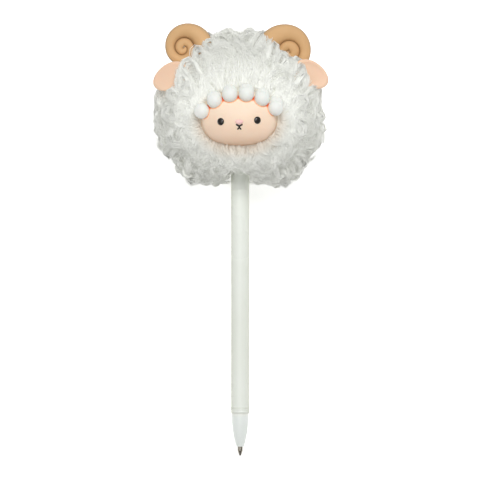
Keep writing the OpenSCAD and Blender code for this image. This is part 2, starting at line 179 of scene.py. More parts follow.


# Moulded white plastic: flow clouds, fine scuffs along the barrel, and painted shade, darker where it turns
# from the front
def mouldedWhite(name, base, shade, rough):
    f = Finish(name)
    cloud = f.limits(f.noise(38, 3), 0.35, 0.7)
    scuff = f.limits(f.noise(420, 4, 0.65, f.stretched((9.0, 0.5, 9.0))), 0.56, 0.72)
    grain = f.noise(2600, 2)
    colour = f.blend(cloud * 0.55 + scuff * 0.25, base, shade)
    # painted shade: darker towards the sides that turn away from the front
    colour = f.blend(f.shadeTurnedAway(0.05, 0.8) * 0.7, colour, paint(198, 200, 184))
    return f.close(Base_Color=colour, Roughness=rough + scuff * 0.12 + cloud * 0.05,
                   Normal=f.bump(grain + scuff * 0.6, 0.12, 0.00004), **hardWhite)


# Cooler white of the nose cone, creamier in the moulded band at its top, with a fine groove round it that is
# painted darker as shade
def noseWhite(name, base, shade, rough, band, line):
    f = Finish(name)
    axis = (0.0, 1000 * math.cos(lean), 1000 * math.sin(lean))
    along = f.add("VectorMath", {"operation": "DOT_PRODUCT"}, {0: f.place(), 1: axis}, output=1)
    along = along + (pose["shift"] * math.cos(lean) - pose["lift"] * math.sin(lean))
    cloud = f.limits(f.noise(60, 3), 0.35, 0.7)
    grain = f.noise(2600, 2)
    grooveAndShade = f.limits(f.add("Math", {"operation": "ABSOLUTE"}, {0: along - line}), 0.1, 0.34, 1.0, 0.0)
    colour = f.blend(cloud * 0.5, base, shade)
    colour = f.blend(f.limits(along, band - 2.2, band + 0.3), colour, paint(240, 242, 234))
    # painted shade: the groove is darker where it is cut in
    colour = f.blend(grooveAndShade * 0.4, colour, paint(206, 208, 198))
    return f.close(Base_Color=colour, Roughness=rough + cloud * 0.06,
                   Normal=f.bump(grain * 0.2 - grooveAndShade, 0.5, 0.00008), **hardWhite)


# Turned metal: rings round the point and small dull spots
def turnedMetal(name, base, shade, rough):
    f = Finish(name)
    rings = f.noise(900, 2, 0.5, f.stretched((0.4, 7.0, 0.4)))
    spots = f.limits(f.noise(1500, 3), 0.5, 0.72)
    return f.close(Base_Color=f.blend(rings * 0.6 + spots * 0.3, base, shade), Metallic=1.0,
                   Roughness=rough + rings * 0.14 + spots * 0.1, Normal=f.bump(rings, 0.25, 0.00003))


# Slow clouds and fine specks in a moulded soft skin
def skinTones(f, scale):
    cloud = f.limits(f.noise(scale, 3, 0.55), 0.3, 0.72)
    speck = f.limits(f.noise(1900, 3, 0.6), 0.62, 0.78)
    return cloud, speck


# Soft vinyl: matte, with gentle clouds and a very fine grain, and as much painted shade as its last argument
# asks where it turns away from the front
def softVinyl(name, light, low, rough, cloudScale, soft, paintedShade=0.0):
    f = Finish(name)
    cloud, speck = skinTones(f, cloudScale)
    colour = f.blend(cloud * 0.5 + speck * 0.15, light, low)
    # painted shade: darker where the skin turns away from the front
    if paintedShade:
        shadow = tuple(c * 0.5 for c in low[:3]) + (1.0,)
        colour = f.blend(f.shadeTurnedAway(0.1, 1.0) * paintedShade, colour, shadow)
    return f.close(Base_Color=colour, Roughness=rough + cloud * 0.06, Specular_IOR_Level=0.35,
                   Normal=f.bump(f.noise(3200, 2), 0.1, 0.00005),
                   Subsurface_Weight=soft, Subsurface_Radius=(1.0, 0.62, 0.45), Subsurface_Scale=0.0016)


# Clear plastic with a little haze in it
def clearPlastic(name, base, rough, alpha=0.45):
    f = Finish(name)
    haze = f.limits(f.noise(240, 3), 0.35, 0.7)
    return f.close(Base_Color=f.blend(haze, base, paint(236, 238, 236)), Roughness=rough + haze * 0.1,
                   Alpha=alpha + haze * 0.1, Specular_IOR_Level=0.5)


# Thick ink or grease with streaks along the tube
def thickInk(name, base, streaked):
    f = Finish(name)
    streak = f.limits(f.noise(500, 3, 0.6, f.stretched((3.0, 0.6, 3.0))), 0.4, 0.7)
    return f.close(Base_Color=f.blend(streak, base, streaked), Roughness=0.25 + streak * 0.2,
                   Specular_IOR_Level=0.5)


def dressSolid(nodeName, material):
    mesh = cadNodes[nodeName].data
    mesh.materials.clear()
    mesh.materials.append(material)


barrelFinish = {"base": paint(239, 243, 235), "shade": paint(229, 233, 222), "rough": 0.26}
noseFinish = {"base": paint(237, 242, 238), "shade": paint(224, 230, 224), "rough": 0.3}
metalFinish = {"base": paint(178, 172, 160), "shade": paint(112, 105, 96), "rough": 0.2}

dressSolid("barrel", mouldedWhite("barrel white", **barrelFinish))
dressSolid("nose_cone", noseWhite("nose white", **noseFinish, band=18.6, line=18.5))
dressSolid("barrel_plug", mouldedWhite("plug white", **noseFinish))
dressSolid("tip_holder", mouldedWhite("holder white", **noseFinish))
dressSolid("writing_point", turnedMetal("point metal", **metalFinish))
dressSolid("tip_ball", turnedMetal("ball metal", paint(150, 150, 152), paint(96, 96, 100), 0.12))
dressSolid("refill_tube", clearPlastic("tube clear", paint(222, 226, 226), 0.25))
dressSolid("ink_column", thickInk("ink black", paint(20, 20, 26), paint(44, 44, 56)))
dressSolid("grease_follower", thickInk("grease amber", paint(196, 170, 110), paint(222, 204, 160)))
dressSolid("head_core", softVinyl("core foam", paint(238, 234, 220), paint(214, 208, 190),
                                  rough=0.85, cloudScale=300, soft=0.0))

# Metres between the table and what is pressed flat on it
pressed = 0.00015


# A mesh object from pen millimetres; stands names the solids that it stands for
def makePiece(name, points, faces, material, slot, stands=(), flatten=False):
    placed = layDown(points)
    if flatten:
        placed[:, 2] = np.maximum(placed[:, 2], pressed)
    mesh = bpy.data.meshes.new(name)
    faces = np.asarray(faces, np.int32)
    sides = faces.shape[1]
    mesh.vertices.add(len(placed))
    mesh.vertices.foreach_set("co", placed.astype(np.float32).ravel())
    mesh.loops.add(faces.size)
    mesh.loops.foreach_set("vertex_index", faces.ravel())
    mesh.polygons.add(len(faces))
    mesh.polygons.foreach_set("loop_start", np.arange(0, faces.size, sides, dtype=np.int32))
    mesh.polygons.foreach_set("loop_total", np.full(len(faces), sides, np.int32))
    mesh.polygons.foreach_set("use_smooth", np.ones(len(faces), bool))
    mesh.update(calc_edges=True)
    mesh.validate()
    mesh.materials.append(material)
    piece = bpy.data.objects.new(name, mesh)
    bpy.context.scene.collection.objects.link(piece)
    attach(piece, "pen")
    if stands:
        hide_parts(*stands)
    return piece


# Points and triangles of a unit ball, even all over
def ballGrid(level):
    bm = bmesh.new()
    bmesh.ops.create_icosphere(bm, subdivisions=level, radius=1.0)
    bm.verts.ensure_lookup_table()
    points = np.array([v.co[:] for v in bm.verts])
    faces = np.array([[v.index for v in f.verts] for f in bm.faces])
    bm.free()
    return unit(points), faces


def joined(parts):
    points, faces, count = [], [], 0
    for p, f in parts:
        points.append(p)
        faces.append(np.asarray(f) + count)
        count += len(p)
    return np.concatenate(points), np.concatenate(faces)


# A tube of rings along a path, closed by a fan at each end; rings is steps x sides x 3
def tubeSkin(rings):
    steps, sides = rings.shape[:2]
    a = np.arange(steps - 1)[:, None] * sides
    j = np.arange(sides)[None, :]
    k = (j + 1) % sides
    lower = np.stack([a + j, a + k, a + sides + k], -1).reshape(-1, 3)
    upper = np.stack([a + j, a + sides + k, a + sides + j], -1).reshape(-1, 3)
    points = np.concatenate([rings.reshape(-1, 3), rings[0].mean(0)[None], rings[-1].mean(0)[None]])
    first, last = len(points) - 2, len(points) - 1
    j, k = j[0], k[0]
    end = (steps - 1) * sides
    firstFan = np.stack([k, j, np.full(sides, first)], -1)
    lastFan = np.stack([end + j, end + k, np.full(sides, last)], -1)
    return points, np.concatenate([lower, upper, firstFan, lastFan])


# Sleeves round the barrel, each an outline of radius and height: the neck carries its full width up into
# the wool, and the band is its moulded ring
sleeves = {"sides": 64,
           "neck": [(3.76, 117.1), (3.99, 117.1), (4.01, 117.15), (4.01, 128.8), (3.91, 129.0),
                    (3.76, 129.0)],
           "band": [(3.3, 18.75), (3.84, 18.75), (3.98, 18.9), (4.03, 19.3), (4.03, 19.66), (3.93, 19.8),
                    (3.93, 19.9), (4.1, 20.05), (4.16, 20.4), (4.13, 20.85), (3.3, 20.9)]}


def sleeveForm(outline):
    a = np.linspace(0, 2 * math.pi, sleeves["sides"], endpoint=False)
    rings = np.array([[(r * math.cos(t), r * math.sin(t), z) for t in a] for r, z in outline])
    steps, sides = len(outline), len(a)
    i, j = np.arange(steps)[:, None] * sides, np.arange(sides)[None, :]
    k, above = (j + 1) % sides, (i + sides) % (steps * sides)
    return rings.reshape(-1, 3), np.stack([i + j, i + k, above + k, above + j], -1).reshape(-1, 4)


sleeveWhite = mouldedWhite("sleeve white", **barrelFinish)
makePiece("neckSleeve", *sleeveForm(sleeves["neck"]), sleeveWhite, "white_barrel")
makePiece("bandRing", *sleeveForm(sleeves["band"]), sleeveWhite, "white_barrel")
print("pen dressed")

# Face: a plump pillow of soft vinyl with a flat back
face = {"centre": (-0.5, -21.2, 148.45), "wide": 17.0, "high": 12.15, "deep": 12.3, "corner": 2.35,
        "back": -19.6}


# The face's surface at x and z, or a little proud of it
def facePoint(x, z, proud=0.0):
    middle, front, level = face["centre"]
    k = face["corner"]
    u = abs((x - middle) / face["wide"]) ** k + abs((z - level) / face["high"]) ** k
    return np.array([x, front - face["deep"] * math.sqrt(max(0.0, 1 - u ** (2 / k))) - proud, z])


def faceForm():
    d, faces = ballGrid(6)
    k = face["corner"]
    flat = (np.abs(d[:, 0] / face["wide"]) ** k + np.abs(d[:, 2] / face["high"]) ** k) ** (2 / k)
    reach = 1 / np.sqrt(flat + (d[:, 1] / face["deep"]) ** 2)
    p = np.array(face["centre"]) + d * reach[:, None]
    p[:, 1] = np.minimum(p[:, 1], face["back"])
    return p, faces


# Fringe: six two-lobed beads along the brow; behind is how far each back lobe is moved in x and z
fringe = {"count": 6, "radius": 3.38, "arch": 22.4, "step": 18.5, "turn": 2.4, "middle": (0.0, -30.4, 136.6),
          "curve": 5.5, "lobe": 3.4,
          "behind": [(0.0, 0.4), (0.0, 1.1), (0.0, 1.3), (0.0, 1.5), (0.1, 1.4), (0.15, 2.0)]}


def beadCentre(i):
    a = math.radians((i - (fringe["count"] - 1) / 2) * fringe["step"] - fringe["turn"])
    x, y, z = fringe["middle"]
    back = fringe["curve"] * math.sin(a) ** 2
    return np.array([x + fringe["arch"] * math.sin(a), y + back, z + fringe["arch"] * math.cos(a)])


beadCentres = [beadCentre(i) for i in range(fringe["count"])]


def fringeForm():
    parts = []
    d, faces = ballGrid(4)
    for centre, (x, z) in zip(beadCentres, fringe["behind"]):
        parts.append((centre + d * fringe["radius"], faces))
        parts.append((centre + np.array([x, fringe["lobe"], z]) + d * fringe["radius"], faces))
    return joined(parts)


# Peach skin with painted light and shade: lighter upwards and browner under the chin, a warm line of light
# where the beads meet it and a deeper orange shadow in the notches between them; heights are in millimetres,
# the rest in metres
peach = {"chin": 136, "brow": 158, "chinShadeBand": 0.006,
         "beadEdge": 0.0034, "lightLineEnd": 0.0043, "notchShadeEnd": 0.0056}


def peachSkin():
    f = Finish("peach skin")
    cloud, speck = skinTones(f, 55)
    low, high = (float(layDown([0, -30, z])[1]) for z in (peach["chin"], peach["brow"]))
    height = f.add("SeparateXYZ", {}, {0: f.place()}, output=1)
    # painted light: the skin is lighter towards the brow
    skin = f.blend(f.limits(height, low, high), paint(255, 222, 195), paint(255, 233, 211))
    skin = f.blend(cloud * 0.3 + speck * 0.12, skin, paint(244, 210, 183))
    # painted shade: browner under the chin
    chinShade = f.limits(height, low, low + peach["chinShadeBand"], 0.5, 0.0)
    skin = f.blend(chinShade, skin, paint(219, 177, 141))
    away = []
    for centre in beadCentres:
        inputs = {0: f.place(), 1: tuple(layDown(centre))}
        away.append(f.add("VectorMath", {"operation": "DISTANCE"}, inputs, output=1))
    # painted light and shade: a warm line of light round each bead, deeper orange shadow where two beads meet
    line = sum(f.limits(distance, peach["beadEdge"], peach["lightLineEnd"], 1.0, 0.0) for distance in away)
    notchShade = sum(f.limits(distance, peach["beadEdge"], peach["notchShadeEnd"], 1.0, 0.0) for distance in away)
    skin = f.blend(f.limits(line, 0.15, 1.0) * 0.75, skin, paint(252, 160, 94))
    skin = f.blend(f.limits(notchShade, 1.15, 1.85) * 0.88, skin, paint(245, 98, 34))
    return f.close(Base_Color=skin, Roughness=0.5 + cloud * 0.06, Specular_IOR_Level=0.35,
                   Normal=f.bump(f.noise(3200, 2), 0.1, 0.00005),
                   Subsurface_Weight=0.18, Subsurface_Radius=(1.0, 0.6, 0.4), Subsurface_Scale=0.0014)


# Eyes and nose: half sizes are across, out of the face and up
features = {"middle": -0.5, "tilt": 0.3,
            "eyeX": 8.05, "eyeZ": 147.1, "eyeHalf": (1.58, 0.75, 1.62), "eyeTurn": 24,
            "noseX": 0.06, "noseZ": 146.68, "noseHalf": (1.75, 0.6, 1.02), "noseTaper": 0.14}

# Mouth: two mirrored strokes that meet under the nose, each as points in x and z from its middle line
mouth = {"x": 0.1, "proud": 0.02, "line": 0.37, "flat": 0.7, "taper": 0.12, "blunt": 14,
         "steps": 26, "sides": 12,
         "stroke": [(1.5, 145.66), (0.9, 145.32), (0.26, 144.94), (0.04, 144.66), (0.03, 144.3), (0.3, 143.9),
                    (0.92, 143.3)]}


def eyeForm(side):
    at = facePoint(features["middle"] + side * features["eyeX"], features["eyeZ"] + side * features["tilt"])
    d, faces = ballGrid(4)
    turn = np.array(Matrix.Rotation(math.radians(side * features["eyeTurn"]), 3, "Z"))
    p = d * np.array(features["eyeHalf"])
    return at + p @ turn.T, faces


def noseForm():
    at = facePoint(features["middle"] + features["noseX"], features["noseZ"])
    d, faces = ballGrid(4)
    p = d * np.array(features["noseHalf"])
    p[:, 0] *= 1 + features["noseTaper"] * d[:, 2]
    return at + p, faces


# A smooth curve through knots
def alongPath(knots, steps):
    knots = np.asarray(knots, float)
    padded = np.concatenate([2 * knots[:1] - knots[1:2], knots, 2 * knots[-1:] - knots[-2:-1]])
    t = np.linspace(0, len(knots) - 1, steps)
    i = np.minimum(t.astype(int), len(knots) - 2)
    f = (t - i)[:, None]
    a, b, c, d = padded[i], padded[i + 1], padded[i + 2], padded[i + 3]
    bend, swing = 2 * a - 5 * b + 4 * c - d, 3 * b - a - 3 * c + d
    return 0.5 * (2 * b + (c - a) * f + bend * f ** 2 + swing * f ** 3)


def mouthForm():
    parts = []
    middle = features["middle"] + mouth["x"]
    t = np.linspace(0, 1, mouth["steps"])
    ends = np.sqrt(np.clip(np.minimum(t, 1 - t) * mouth["blunt"], 0.05, 1))
    size = mouth["line"] * (1.08 - mouth["taper"] * t) * ends
    a = np.linspace(0, 2 * math.pi, mouth["sides"], endpoint=False)[:, None]
    for side in (-1, 1):
        knots = [facePoint(middle + side * x, z, mouth["proud"]) for x, z in mouth["stroke"]]
        path = alongPath(knots, mouth["steps"])
        ahead = unit(np.gradient(path, axis=0))
        across = unit(np.cross(ahead, (0, -1.0, 0)))
        out = np.cross(across, ahead)
        section = np.cos(a) * across[:, None] + mouth["flat"] * np.sin(a) * out[:, None]
        parts.append(tubeSkin(path[:, None] + size[:, None, None] * section))
    return joined(parts)


def blackEnamel(name):
    f = Finish(name)
    dust = f.limits(f.noise(1400, 3), 0.55, 0.75)
    colour = f.blend(dust * 0.4, paint(34, 30, 28), paint(58, 52, 48))
    return f.close(Base_Color=colour, Roughness=0.24 + dust * 0.2, Specular_IOR_Level=0.55,
                   Normal=f.bump(f.noise(2400, 2), 0.06, 0.00003))


beadWhite = softVinyl("bead white", paint(241, 243, 238), paint(234, 236, 230),
                      rough=0.42, cloudScale=90, soft=0.15)
buttonPink = softVinyl("button pink", paint(255, 212, 207), paint(248, 192, 188),
                       rough=0.5, cloudScale=260, soft=0.1)
eyeBlack = blackEnamel("eye black")
makePiece("faceSkin", *faceForm(), peachSkin(), "peach_skin", ["face"])
makePiece("fringeBeads", *fringeForm(), beadWhite, "white_bead", ["fringe"])
makePiece("eyeLeft", *eyeForm(-1), eyeBlack, "black_gloss", ["eye_left"])
makePiece("eyeRight", *eyeForm(1), eyeBlack, "black_gloss", ["eye_right"])
makePiece("noseButton", *noseForm(), buttonPink, "pink_button", ["nose_button"])
makePiece("mouthLine", *mouthForm(), blackEnamel("mouth black"), "black_gloss", ["mouth"])
print("face made")

# Ears: soft leaf-shaped blades, cupped towards the front inside a rim
ears = {"long": 8.9, "broad": 5.95, "thick": 1.75, "droop": 25, "turn": 22, "bend": 26.0, "rim": 0.86,
        "taper": 0.1, "left": (-30.2, -12.0, 166.6), "right": (30.7, -12.0, 167.5),
        "leftCup": 0.3, "rightCup": 1.15}


def earForm(side, middle, cup):
    d, faces = ballGrid(5)
    p = d * np.array([ears["long"], ears["thick"], ears["broad"]])
    # the edges curl forward
    p[:, 1] -= (p[:, 0] ** 2 * 0.5 + p[:, 2] ** 2) / (2 * ears["bend"])
    dish = cup * np.clip(1 - (np.hypot(d[:, 0], d[:, 2]) / ears["rim"]) ** 4, 0, 1)
    p[:, 1] += np.where(d[:, 1] < 0, dish, 0)
    p[:, 2] *= 1 - ears["taper"] * d[:, 0] * side
    tilt = np.array(Matrix.Rotation(math.radians(side * ears["droop"]), 3, "Y"))
    turn = np.array(Matrix.Rotation(math.radians(side * ears["turn"]), 3, "Z"))
    return np.array(middle) + p @ tilt.T @ turn.T, faces


# the ears get some painted shade where they turn away from the front
earSkin = softVinyl("ear skin", paint(244, 210, 182), paint(237, 199, 170),
                    rough=0.55, cloudScale=70, soft=0.2, paintedShade=0.4)
makePiece("earLeft", *earForm(-1, ears["left"], ears["leftCup"]), earSkin, "peach_skin", ["ear_left"])
makePiece("earRight", *earForm(1, ears["right"], ears["rightCup"]), earSkin, "peach_skin", ["ear_right"])

# Horns: one thick strip rolled up into a snail coil; edge is how far its outer edge is from the coil's
# middle, in millimetres, at each angle of turnAt, in degrees
horns = {"start": -60, "end": 790, "deep": 0.92, "narrow": 0.95, "overlap": 1.04, "soften": 30,
         "tipSteps": 10, "steps": 260, "sides": 28,
         "turnAt": (-60, 0, 27, 79, 125, 171, 236, 263, 322, 375, 441, 535, 613, 682, 740, 800),
         "edge": (16.0, 14.3, 13.2, 10.9, 9.6, 8.5, 7.7, 7.2, 5.9, 4.95, 4.6, 4.1, 3.15, 1.95, 1.3, 0.7),
         "left": (-24.9, -6.0, 179.3), "right": (21.8, -6.0, 177.4), "rightSize": 1.14}


# Distance from the coil's middle to the strip's outer edge, smoothed; nothing is left of it past the end
def coilEdge(a):
    turned = np.arange(horns["start"], horns["end"] + 360 + horns["soften"])
    wide = np.interp(turned, horns["turnAt"], horns["edge"])
    wide[turned > horns["turnAt"][-1]] = 0.0
    window = np.hanning(2 * horns["soften"] + 1)
    smooth = np.convolve(np.pad(wide, horns["soften"], mode="edge"), window / window.sum(), "valid")
    return np.interp(a, turned, smooth)


def hornForm(side, middle, size=1.0):
    a = np.linspace(horns["start"], horns["end"], horns["steps"])
    outer, inner = coilEdge(a), coilEdge(a + 360)
    mid, half = (outer + inner) / 2, (outer - inner) / 2 * horns["overlap"]
    t = np.radians(a)
    # the coil starts inside the fleece, goes over the top and outwards, and ends at its middle
    outward = np.stack([-side * np.cos(t), np.zeros_like(t), np.sin(t)], -1)
    centre = outward * mid[:, None]
    s = np.linspace(0, 2 * math.pi, horns["sides"], endpoint=False)[:, None]
    section = np.cos(s) * outward[:, None] + horns["deep"] * np.sin(s) * np.array([0, 1.0, 0])
    tip = np.sqrt(np.clip(np.arange(horns["steps"])[::-1] / horns["tipSteps"], 0.03, 1))
    rings = centre[:, None] + (half * tip)[:, None, None] * section
    rings[..., 0] *= horns["narrow"]
    return tubeSkin(rings * np.array([size, 1.0, size]) + np.array(middle))


# the horns get full painted shade where they turn away from the front
hornTan = softVinyl("horn tan", paint(218, 177, 128), paint(204, 161, 112),
                    rough=0.6, cloudScale=80, soft=0.08, paintedShade=1.0)
makePiece("hornLeft", *hornForm(-1, horns["left"]), hornTan, "tan_horn", ["horn_left"])
makePiece("hornRight", *hornForm(1, horns["right"], horns["rightSize"]), hornTan, "tan_horn", ["horn_right"])
print("ears and horns made")

# Fleece: a lumpy pad under hundreds of curled locks, each a bundle of strands
fleece = {"centre": (0.0, 0.0, 152.0), "half": (38.0, 28.5, 34.9), "low": 3.0, "high": 2.1, "inset": 4.5,
          # where it draws in by height: degrees up, how wide, how much
          "corner": (-37.0, 12.0, 0.09), "hollow": (-90.0, 26.0, 0.13),
          # and by direction: on the right, and where ears and horns sit
          "dents": [((1, 0, 0.02), 14.0, 0.075), ((0.85, 0, 0.53), 13.0, 0.08),
                    ((-0.85, 0, 0.53), 13.0, 0.08)],
          "lumps": 260, "lump": 1.2, "lumpEdge": (0.985, 0.015),
          "locks": 290, "frontLocks": 230, "steps": 7, "spread": 3.1, "clash": 0.12,
          "under": 5.3, "lift": (0.1, 0.5), "length": (11.0, 18.0), "turn": (70, 190),
          "curled": 0.42, "curledTurn": (210, 380), "swirl": 0.6,
          # glow: how strongly the wool glows, painted light that lifts its shade
          "knee": 0.96, "room": (0.02, 0.045), "glow": 0.18}

# How the strands of a lock lie round its guide, and the few loose ones among them
strand = {"count": 19, "thick": 0.125, "flat": 0.6, "wave": 0.26, "waves": (4, 9), "length": (0.75, 1.05),
          "splay": 0.6, "lockProud": (0.3, 1.2), "proud": (0.6, 1.5),
          "loose": 0.1, "looseWide": 1.35, "looseWave": 2.2}

# Where the wool above the brow is combed up smoothly, and how much less it turns there
brow = {"wide": 15, "level": 168, "high": 9, "straighter": 0.85,
        "rimWide": 14, "rimLow": 155, "rimStraighter": 0.6}

# Locks that come out from under the rim of the face and from behind the beads, in two rows
rims = {"locks": 60, "browLocks": 30, "arc": (-205, 25), "browArc": (-58, 54), "beside": 1.04, "above": 2.4,
        "row": 4.5, "scatter": 0.5, "under": 2.6, "length": (9, 14), "turn": (40, 130), "spread": 2.0}

# Small curls that break up the outline of the head as seen from the front, wispier on top
curls = {"count": 110, "under": 3.0, "size": (1.2, 2.7), "turn": (190, 330), "long": 1.5, "back": 0.25,
         "wispier": 0.45, "topWide": 13, "topLow": 160, "spread": 0.8}

# Fuzz: single fine hairs that stand loose over the locks
fuzz = {"count": 4300, "under": 2.6, "lift": (0.1, 0.9), "length": (5.5, 10.0), "turn": (110, 240),
        "curled": 0.5, "curledTurn": (240, 430), "swirl": 1.1, "thick": 0.075, "wave": 0.25, "waves": (5, 11),
        "proud": (0.4, 2.2)}

# Where the pad parts in front of the barrel, and how far it fades at the edges of that
parting = {"half": 6.8, "halfFade": 2.2, "top": 129.0, "topFade": 2.5, "front": -2.6}

# How far along a lock each of its points is
share = np.linspace(0, 1, fleece["steps"] + 1)


# Degrees between each direction and another one
def apart(d, other):
    return np.degrees(np.arccos(np.clip(d @ unit(other), -1, 1)))


# How far the fleece reaches from its centre in each direction
def fleeceReach(d):
    half = np.array(fleece["half"])
    rho = np.hypot(d[:, 0] / half[0], d[:, 1] / half[1])
    high = np.abs(d[:, 2] / half[2])
    k = np.where(d[:, 2] < 0, fleece["low"], fleece["high"])
    rise = np.degrees(np.arcsin(np.clip(d[:, 2], -1, 1)))
    byHeight = (fleece["corner"], fleece["hollow"])
    drawn = sum(much * np.exp(-((rise - at) / wide) ** 2) for at, wide, much in byHeight)
    drawn = drawn + sum(much * np.exp(-(apart(d, at) / wide) ** 2) for at, wide, much in fleece["dents"])
    return (1 - drawn) / (rho ** k + high ** k) ** (1 / k)


# Directions spread evenly over a ball
def evenDirections(count):
    goldenAngle = math.radians(137.508)
    i = np.arange(count) + 0.5
    z = 1 - 2 * i / count
    a = i * goldenAngle
    r = np.sqrt(1 - z * z)
    return np.stack([r * np.cos(a), r * np.sin(a), z], -1)


def padForm():
    d, faces = ballGrid(6)
    seeds = unit(evenDirections(fleece["lumps"]) + rng.normal(0, 0.05, (fleece["lumps"], 3)))
    edge, rise = fleece["lumpEdge"]
    near = np.clip((d @ seeds.T - edge) / rise, 0, 1)
    lump = fleece["lump"] * (near ** 0.8).max(1)
    p = np.array(fleece["centre"]) + d * (fleeceReach(d) - fleece["inset"] + lump)[:, None]
    beside = np.clip((parting["half"] - np.abs(p[:, 0])) / parting["halfFade"], 0, 1)
    below = np.clip((parting["top"] - p[:, 2]) / parting["topFade"], 0, 1)
    p[:, 1] += np.maximum(parting["front"] - p[:, 1], 0) * (beside * below)
    return p, faces


# What stays clear of wool besides the face and beads: the front of the horns and ears, as outlines in
# x and z, the barrel, and the gap between each horn and ear
clear = {"left": [(-12.5, 186.5), (-16.5, 182.5), (-20, 178), (-21, 175), (-25, 172.6), (-28, 166.4),
                  (-32.8, 160), (-37, 160.6), (-46, 162), (-46, 196), (-12.5, 196)],
         "right": [(11.5, 186.5), (15, 182), (18, 177), (22.5, 175), (27.4, 172.6), (29.6, 167.5),
                   (34.4, 161.4), (38, 162.6), (46, 164), (46, 196), (11.5, 196)],
         "front": -6, "barrel": 4.6, "barrelTop": 125.9, "barrelBackTop": 121,
         "gapSide": 28.5, "gapLow": 170.5, "gapBack": 9}


def insideOutline(x, z, outline):
    inside = np.zeros(x.shape, bool)
    for (x0, z0), (x1, z1) in zip(outline, outline[1:] + outline[:1]):
        if z0 == z1:
            continue
        crosses = (z0 > z) != (z1 > z)
        inside ^= crosses & (x < (x1 - x0) * (z - z0) / (z1 - z0) + x0)
    return inside


def keptClear(p, grow=0.0):
    x, y, z = p[..., 0], p[..., 1], p[..., 2]
    across = np.abs((x - face["centre"][0]) / (face["wide"] + grow))
    upright = np.abs((z - face["centre"][2]) / (face["high"] + grow))
    before = across ** face["corner"] + upright ** face["corner"] < 1
    for centre in beadCentres:
        before |= np.hypot(x - centre[0], z - centre[2]) < fringe["radius"] + grow
    before |= (np.abs(x) < clear["barrel"]) & (z < clear["barrelTop"])
    trim = insideOutline(x, z, clear["left"]) | insideOutline(x, z, clear["right"])
    gap = (np.abs(x) > clear["gapSide"]) & (z > clear["gapLow"]) & (y < clear["gapBack"])
    onBarrel = (np.hypot(x, y) < clear["barrel"]) & (z < clear["barrelBackTop"])
    return (before & (y < 0)) | (trim & (y < clear["front"])) | gap | onBarrel


# Slow waves over the head, so that neighbouring locks go and curl the same way
def drift(p, wave, seed):
    k = np.random.default_rng(seed).normal(0, 2 * math.pi / wave, (3, 3))
    return np.sin(p @ k.T + seed)


# Paths of equal steps that turn from their heading towards bendTo
def rolledPaths(root, heading, bendTo, angle, length, twist=0.0):
    ahead, aside = np.cos(angle)[..., None], np.sin(angle)[..., None]
    direction = ahead * heading[:, None] + aside * bendTo[:, None] + twist
    step = (length / fleece["steps"])[..., None]
    return root[:, None] + (np.cumsum(direction, 1) - direction[:, :1]) * step


# Guides: each lock leaves the pad, leans away from the face and rolls up
def lockGuides(d, style):
    count = len(d)
    d = unit(d + rng.normal(0, 0.035, (count, 3)))
    root = np.array(fleece["centre"]) + d * (fleeceReach(d) - style["under"])[:, None]
    normal = unit(d / np.array(fleece["half"]) ** 2)
    calm = np.exp(-(root[:, :1] / brow["wide"]) ** 2 - ((root[:, 2:] - brow["level"]) / brow["high"]) ** 2)
    calm = calm * (root[:, 1:2] < 0)
    away = unit(root - np.array([face["centre"][0], -26.0, face["centre"][2]]))
    away += (1 - calm) * style["swirl"] * drift(root, wave=34, seed=3)
    flow = unit(away - (away * normal).sum(1, keepdims=True) * normal)
    heading = unit(flow + normal * (0.2 + (1 - calm) * rng.uniform(*style["lift"], (count, 1))))
    sense = np.sign(drift(root, wave=30, seed=5)[:, :1] + rng.normal(0, 0.35, (count, 1)))
    bendTo = unit(np.cross(normal, flow)) * sense + normal * rng.uniform(-0.5, 0.5, (count, 1))
    bendTo = unit(bendTo - (bendTo * heading).sum(1, keepdims=True) * heading)
    twist = 0.16 * np.cross(heading, bendTo) * sense
    length = rng.uniform(*style["length"], (count, 1))
    rolled = rng.uniform(0, 1, (count, 1)) < style["curled"]
    curledTurn = rng.uniform(*style["curledTurn"], (count, 1))
    turn = np.radians(np.where(rolled, curledTurn, rng.uniform(*style["turn"], (count, 1))))
    angle = turn * (1 - brow["straighter"] * calm) * share ** 1.35
    return rolledPaths(root, heading, bendTo, angle, length, twist[:, None])


# Front of the fleece at x and z, or a little proud of it
def onFleece(x, z, proud=0.0):
    rise, y = z - fleece["centre"][2], -20.0
    # each try starts from the depth that the last one found
    for again in range(8):
        reach = fleeceReach(unit([[x, y, rise]]))[0]
        y = -math.sqrt(max(reach ** 2 - x ** 2 - rise ** 2, 9.0))
    return np.array([x, y - proud, z])
